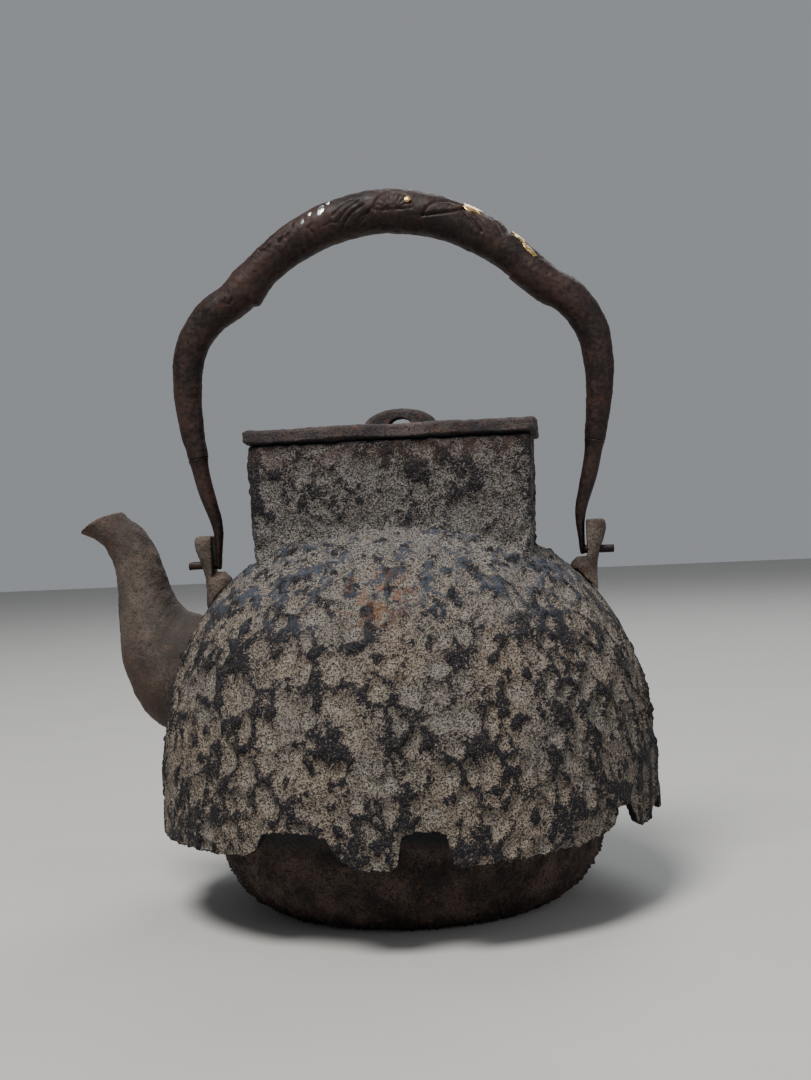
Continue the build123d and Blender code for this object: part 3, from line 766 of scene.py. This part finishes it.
def make_leaves(name, leaves, node, material):
    """Thin leaves of metal with ragged edges, let into the bow's front."""
    points, faces = [], []
    for i, (x, z, length, width, tilt, ragged) in enumerate(leaves):
        start = len(points)
        c, s = math.cos(math.radians(tilt)), math.sin(math.radians(tilt))
        points.append(on_bail(x, z, LEAF_CROWN))
        for ring in range(1, LEAF_RINGS + 1):
            share = min(ring, LEAF_RINGS - 1) / (LEAF_RINGS - 1)
            lift = LEAF_EDGE + (LEAF_CROWN - LEAF_EDGE) * (1 - share**2)
            lift = lift if ring < LEAF_RINGS else LEAF_SKIRT
            for spoke in range(LEAF_SPOKES):
                a = 2 * math.pi * spoke / LEAF_SPOKES
                edge = 1 + ragged * noise.noise((3 * math.cos(a), 3 * math.sin(a), 5.0 + i))
                u = 0.5 * length * share * edge * math.cos(a)
                v = 0.5 * width * share * edge * math.sin(a)
                grain = 0.07 * noise.noise((3 * (x + u), 3 * (z + v), 1.0))
                points.append(on_bail(x + u * c - v * s, z + u * s + v * c, lift + grain))
        points.append(on_bail(x, z, LEAF_FOOT))
        for spoke in range(LEAF_SPOKES):
            after = (spoke + 1) % LEAF_SPOKES
            faces.append((start, start + 1 + after, start + 1 + spoke))
            for ring in range(LEAF_RINGS - 1):
                row = start + 1 + ring * LEAF_SPOKES
                above = row + LEAF_SPOKES
                faces.append((row + spoke, row + after, above + after, above + spoke))
            row = start + 1 + (LEAF_RINGS - 1) * LEAF_SPOKES
            faces.append((row + spoke, row + after, len(points) - 1))
    piece = new_piece(name, points, faces, "bail", material)
    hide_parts(node)


# ---------------------------------------------------------------- materials
class Nodes:
    """A short way to write a material's node tree."""

    def __init__(self, name):
        self.material = bpy.data.materials.new(name)
        self.material.use_nodes = True
        self.tree = self.material.node_tree
        self.tree.nodes.clear()
        self.output = self.add("ShaderNodeOutputMaterial")
        self.shader = self.add("ShaderNodeBsdfPrincipled")
        self.join(self.shader.outputs["BSDF"], self.output.inputs["Surface"])
        self.place = self.add("ShaderNodeTexCoord").outputs["Object"]

    def add(self, kind, **settings):
        node = self.tree.nodes.new(kind)
        for key, value in settings.items():
            setattr(node, key, value)
        return node

    def join(self, a, b):
        self.tree.links.new(a, b)

    def put(self, value, socket):
        if isinstance(value, bpy.types.NodeSocket):
            self.join(value, socket)
        else:
            socket.default_value = value

    def noise(self, size, detail=3.0, rough=0.55):
        """Noise whose lumps are about size millimetres wide."""
        node = self.add("ShaderNodeTexNoise")
        node.inputs["Scale"].default_value = 1 / (size * MM)
        node.inputs["Detail"].default_value = detail
        node.inputs["Roughness"].default_value = rough
        self.join(self.place, node.inputs["Vector"])
        return node.outputs["Fac"]

    def height(self):
        """Height above the base in metres."""
        node = self.add("ShaderNodeSeparateXYZ")
        self.join(self.place, node.inputs[0])
        return node.outputs["Z"]

    def spread(self, noise_value, amount):
        """Noise centred on 0 and scaled by amount."""
        return self.math("MULTIPLY", self.math("SUBTRACT", noise_value, 0.5), amount)

    def value(self, name):
        return self.add("ShaderNodeAttribute", attribute_name=name).outputs["Fac"]

    def math(self, kind, a, b=0.0):
        node = self.add("ShaderNodeMath", operation=kind)
        self.put(a, node.inputs[0])
        self.put(b, node.inputs[1])
        return node.outputs[0]

    def step(self, value, low, high):
        """0 below low and 1 above high."""
        node = self.add("ShaderNodeMapRange", interpolation_type="SMOOTHSTEP")
        self.put(value, node.inputs["Value"])
        node.inputs["From Min"].default_value = low
        node.inputs["From Max"].default_value = high
        return node.outputs["Result"]

    def mix(self, share, a, b):
        node = self.add("ShaderNodeMix", data_type="RGBA")
        self.put(share, node.inputs["Factor"])
        for colour, socket in ((a, node.inputs["A"]), (b, node.inputs["B"])):
            if not isinstance(colour, bpy.types.NodeSocket):
                colour = (*colour, 1.0)
            self.put(colour, socket)
        return node.outputs["Result"]

    def spot(self, x, y, z, size):
        """1 at a place given in millimetres, fading to 0 at size."""
        node = self.add("ShaderNodeVectorMath", operation="DISTANCE")
        self.join(self.place, node.inputs[0])
        node.inputs[1].default_value = (x * MM, y * MM, z * MM)
        return self.step(node.outputs["Value"], size * MM, 0.0)

    def finish(self, colour, rough, bump, distance, metal=0.0, specular=0.3):
        self.put(colour, self.shader.inputs["Base Color"])
        self.put(rough, self.shader.inputs["Roughness"])
        self.shader.inputs["Metallic"].default_value = metal
        self.shader.inputs["Specular IOR Level"].default_value = specular
        node = self.add("ShaderNodeBump")
        node.inputs["Distance"].default_value = distance * MM
        node.inputs["Strength"].default_value = 1.0
        self.join(bump, node.inputs["Height"])
        self.join(node.outputs["Normal"], self.shader.inputs["Normal"])
        return self.material


TAN = (0.235, 0.196, 0.152)
GREY_TAN = (0.185, 0.17, 0.15)
HIGH_DOME_GREY = (0.215, 0.208, 0.197)
NECK_GREY = (0.15, 0.142, 0.134)
EARTH = (0.105, 0.078, 0.056)
BLUE_BLACK = (0.006, 0.007, 0.011)
DARK_GRIT = (0.02, 0.017, 0.015)
RUST = (0.2, 0.075, 0.028)
BROWN = (0.065, 0.036, 0.026)
RUSTY_BROWN = (0.075, 0.048, 0.036)
# painted sky reflection on the dark scabs high on the dome
SKY_SHEEN_BLUE_GREY = (0.043, 0.056, 0.078)
PALE_DUST = (0.34, 0.325, 0.295)
STAIN = (0.062, 0.026, 0.014)
RUST_PATCH = (-2, -60, 104, 17)  # high on the front, as (x, y, z, reach)
RUST_FADE = 0.14  # how softly rust begins
# The dark, light and rusty colours of each plain iron.
PAN_IRON = (0.012, 0.0078, 0.0062), (0.12, 0.076, 0.058), (0.17, 0.062, 0.022)
LID_IRON = (0.02, 0.016, 0.016), (0.098, 0.076, 0.068), (0.13, 0.048, 0.024)
BAIL_IRON = (0.0105, 0.0066, 0.0056), (0.037, 0.0195, 0.015), (0.07, 0.024, 0.014)
STUMP_IRON = (0.045, 0.032, 0.025), (0.17, 0.132, 0.104), STAIN
SPOUT_IRON = (0.034, 0.025, 0.02), (0.11, 0.084, 0.068), RUST


def casting_material():
    """Pale grit and dust between dark scabs, which carry a painted bluish sky reflection high on
    the dome, and one patch of rust.
    """
    n = Nodes("rough_casting")
    broad = n.noise(24, 3)
    patch = n.noise(5, 4, 0.65)
    mid = n.noise(1.7, 3, 0.65)
    speck = n.noise(0.75, 2, 0.7)
    fine = n.noise(0.4, 1, 0.6)
    worn = n.value("dark")
    on_neck = n.step(n.height(), 123 * MM, 131 * MM)
    below_neck = n.step(n.height(), 134 * MM, 122 * MM)
    high = n.math("MULTIPLY", n.step(n.height(), 88 * MM, 112 * MM), below_neck)
    top = n.step(n.height(), 144 * MM, 155 * MM)
    grain = n.math("ADD", n.spread(speck, 1.6), n.spread(fine, 1.7))
    pale = n.mix(n.step(broad, 0.36, 0.64), TAN, GREY_TAN)
    pale = n.mix(n.math("MULTIPLY", n.step(worn, 0.0, -0.3), 0.4), pale, PALE_DUST)
    pale = n.mix(n.math("MULTIPLY", n.step(patch, 0.55, 0.8), 0.8), pale, BROWN)
    # high on the dome the pale grit is mixed towards a lighter grey
    greyer_high_up = n.step(n.height(), 90 * MM, 122 * MM)
    pale = n.mix(n.math("MULTIPLY", greyer_high_up, 0.75), pale, HIGH_DOME_GREY)
    pale = n.mix(n.math("MULTIPLY", on_neck, 0.8), pale, NECK_GREY)
    pale = n.mix(n.math("MULTIPLY", n.step(grain, -0.16, 0.12), 0.7), pale, EARTH)
    grit = n.math("ADD", grain, n.math("MULTIPLY", on_neck, 0.06))
    pale = n.mix(n.math("MULTIPLY", n.step(grit, -0.02, 0.22), 0.95), pale, DARK_GRIT)
    # painted reflection: dark scabs high on the dome turn blue-grey as if they reflected the sky
    black = n.mix(n.math("MULTIPLY", n.step(patch, 0.42, 0.58), high), BLUE_BLACK, SKY_SHEEN_BLUE_GREY)
    black = n.mix(n.math("MULTIPLY", n.step(grain, -0.08, -0.34), 0.75), black, EARTH)
    dark = n.math("ADD", n.math("ADD", worn, n.spread(mid, 1.0)), n.math("MULTIPLY", grain, 0.45))
    colour = n.mix(n.math("MULTIPLY", n.step(dark, -0.02, 0.38), 0.85), pale, RUSTY_BROWN)
    colour = n.mix(n.step(dark, 0.13, 0.38), colour, black)
    rusty = n.math("MULTIPLY", n.spot(*RUST_PATCH), n.step(n.noise(3.2, 4), 0.46, 0.62))
    colour = n.mix(n.math("MULTIPLY", rusty, 0.7), colour, RUST)
    colour = n.mix(n.math("MULTIPLY", top, n.step(patch, 0.35, 0.75)), colour, BROWN)
    # painted shade: blue-black inside the shell and along the neck's top rim
    colour = n.mix(n.value("inside"), colour, BLUE_BLACK)
    height = n.math("ADD", n.math("MULTIPLY", speck, 0.7), n.math("MULTIPLY", mid, 0.8))
    height = n.math("ADD", height, n.math("MULTIPLY", fine, 0.4))
    return n.finish(colour, 0.8, height, 1.0, specular=0.22)


def iron_material(
    name, colours, rust_from, size, rough, bump, grain=1.0, specular=0.3, stains=()
):
    """Brown iron with lighter patches size millimetres wide, rust over them, and fine dark grit.

    There is less rust with a higher rust_from. stains are more rusty places, each with its reach.
    """
    base, light, rust = colours
    n = Nodes(name)
    broad = n.noise(size * 4, 3)
    patch = n.noise(size, 4, 0.65)
    mid = n.noise(1.6, 3, 0.65)
    speck = n.noise(0.6, 2, 0.7)
    lit = n.math("ADD", broad, n.math("ADD", n.spread(mid, 0.9), n.spread(speck, 1.1 * grain)))
    colour = n.mix(n.step(lit, 0.36, 0.7), base, light)
    rusted = n.math("ADD", patch, n.spread(speck, 0.5 * grain))
    rusted = n.math("MULTIPLY", n.step(rusted, rust_from, rust_from + RUST_FADE), 0.85)
    colour = n.mix(rusted, colour, rust)
    for place in stains:
        uneven = n.step(n.math("ADD", patch, n.spread(mid, 0.8)), 0.3, 0.6)
        colour = n.mix(n.math("MULTIPLY", n.spot(*place), uneven), colour, STAIN)
    gritty = n.step(n.math("ADD", speck, n.spread(mid, 0.6)), 0.5, 0.66)
    colour = n.mix(n.math("MULTIPLY", gritty, 0.6 * grain), colour, BLUE_BLACK)
    # painted shade: pieces with a shade value (the pan's upper wall, the lid's rebate) are darkened
    # to blue-black
    colour = n.mix(n.value("shade"), colour, BLUE_BLACK)
    height = n.math("ADD", n.math("MULTIPLY", speck, 0.45 * grain), n.math("MULTIPLY", mid, 0.6))
    uneven_rough = n.math("ADD", n.spread(mid, 0.5), rough)
    return n.finish(colour, uneven_rough, height, bump, specular=specular)


def metal_material(name, bright, dull, rough):
    """Worn precious metal with dirt in it."""
    n = Nodes(name)
    wear = n.noise(1.1, 3, 0.6)
    colour = n.mix(n.step(wear, 0.42, 0.66), bright, dull)
    return n.finish(colour, rough, wear, 0.12, metal=1.0, specular=0.5)


# ---------------------------------------------------------------- stage
FLOOR_HALF = 3.0  # metres
FLOOR_PALE, FLOOR_PALER = (0.42, 0.412, 0.395), (0.46, 0.45, 0.43)
WORLD_COLOUR, WORLD_STRENGTH = (0.9, 0.94, 1.0, 1.0), 0.3
CAMERA_LENS = 50.4
CAMERA_PLACE = (50.0, -519.6, 129.0)
CAMERA_TARGET = (1.76, 0.0, 122.1)
CAMERA_ROLL = 2.58
# Lights as (name, place in metres, size, power, colour).
LIGHTS = (
    ("key", (-0.3, -0.75, 1.5), 0.6, 38, (1.0, 0.98, 0.95)),
    ("fill", (1.1, -0.7, 0.7), 1.2, 4, (0.95, 0.97, 1.0)),
    ("back", (0.3, 1.1, 1.3), 1.0, 11, (0.93, 0.96, 1.0)),
)
LIGHTS_TARGET = (0, 0, 0.12)


def make_camera():
    camera = bpy.data.objects.new("camera", bpy.data.cameras.new("camera"))
    camera.data.sensor_fit = "AUTO"
    camera.data.sensor_width = 36.0
    camera.data.lens = CAMERA_LENS
    camera.data.clip_start = 0.01
    place, target = Vector(CAMERA_PLACE) * MM, Vector(CAMERA_TARGET) * MM
    turn = (target - place).to_track_quat("-Z", "Y").to_matrix()
    turn = turn @ Matrix.Rotation(math.radians(-CAMERA_ROLL), 3, "Z")
    camera.matrix_world = Matrix.Translation(place) @ turn.to_4x4()
    bpy.context.scene.collection.objects.link(camera)
    bpy.context.scene.camera = camera


def make_floor():
    n = Nodes("pale_floor")
    n.finish(n.mix(n.noise(60, 2), FLOOR_PALE, FLOOR_PALER), 0.8, n.noise(2, 2), 0.02)
    corners = [(FLOOR_HALF * x, FLOOR_HALF * y, 0) for x, y in ((-1, -1), (1, -1), (1, 1), (-1, 1))]
    mesh = bpy.data.meshes.new("floor")
    mesh.from_pydata(corners, [], [(0, 1, 2, 3)])
    mesh.materials.append(n.material)
    floor = bpy.data.objects.new("floor", mesh)
    bpy.context.scene.collection.objects.link(floor)


def make_light(name, place, size, power, colour):
    lamp = bpy.data.lights.new(name, "AREA")
    lamp.shape = "DISK"
    lamp.size = size
    lamp.energy = power
    lamp.color = colour
    light = bpy.data.objects.new(name, lamp)
    place = Vector(place)
    turn = (Vector(LIGHTS_TARGET) - place).to_track_quat("-Z", "Y").to_matrix().to_4x4()
    light.matrix_world = Matrix.Translation(place) @ turn
    bpy.context.scene.collection.objects.link(light)


def make_lights():
    for light in LIGHTS:
        make_light(*light)
    world = bpy.data.worlds.new("studio")
    world.use_nodes = True
    background = world.node_tree.nodes["Background"]
    background.inputs["Color"].default_value = WORLD_COLOUR
    background.inputs["Strength"].default_value = WORLD_STRENGTH
    bpy.context.scene.world = world


# ---------------------------------------------------------------- the kettle
def paint(node, material):
    """Gives a CAD node that stays in view its material."""
    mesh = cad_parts[node]
    mesh.data.materials.clear()
    mesh.data.materials.append(material)


def main():
    noise.seed_set(NOISE_SEED)
    make_camera()
    make_floor()
    make_lights()
    casting = casting_material()
    grey_iron = iron_material(
        "grey_iron",
        SPOUT_IRON,
        0.66,
        size=4,
        rough=0.7,
        bump=0.6,
        specular=0.25,
        stains=SPOUT_STAINS,
    )
    stump_iron = iron_material(
        "stump_iron", STUMP_IRON, 0.54, size=3, rough=0.8, bump=0.7, grain=1.2
    )
    pan_iron = iron_material("pan_iron", PAN_IRON, 0.6, size=2.5, rough=0.75, bump=1.0, grain=1.5)
    lid_iron = iron_material("lid_iron", LID_IRON, 0.56, size=4, rough=0.75, bump=0.7, grain=1.3)
    bail_iron = iron_material(
        "bail_iron", BAIL_IRON, 0.6, size=5, rough=0.55, bump=0.22, grain=0.4, specular=0.2
    )
    gold = metal_material("worn_gold", (0.72, 0.5, 0.2), (0.2, 0.12, 0.05), 0.35)
    silver = metal_material("worn_silver", (0.75, 0.76, 0.78), (0.16, 0.15, 0.15), 0.3)
    make_body(casting)
    make_pan(pan_iron)
    make_spout(grey_iron)
    paint("seam_lute", pan_iron)
    for name, side in (("left", -1), ("right", 1)):
        lug, stump = "lug_" + name, "stump_" + name
        weathered(lug, stump, "kettle", stump_iron, 0.35, stump_relief)
        node, leg = "handle_leg_" + name, "leg_" + name
        weathered(node, leg, "bail", bail_iron, 0.3, leg_relief(side))
    weathered("lid_plate", "flat_lid", "lid", lid_iron, 0.5, lid_relief, 2, lid_shade)
    knob_relief = rust_relief(2.5, 0.15)
    weathered("lid_knob", "arched_knob", "lid", lid_iron, 0.3, knob_relief)
    paint("knob_washers", lid_iron)
    make_bail(bail_iron)
    make_leaves("gold_leaves", GOLD_LEAVES, "gold_inlays", gold)
    make_leaves("silver_leaves", SILVER_LEAVES, "silver_inlays", silver)


main()
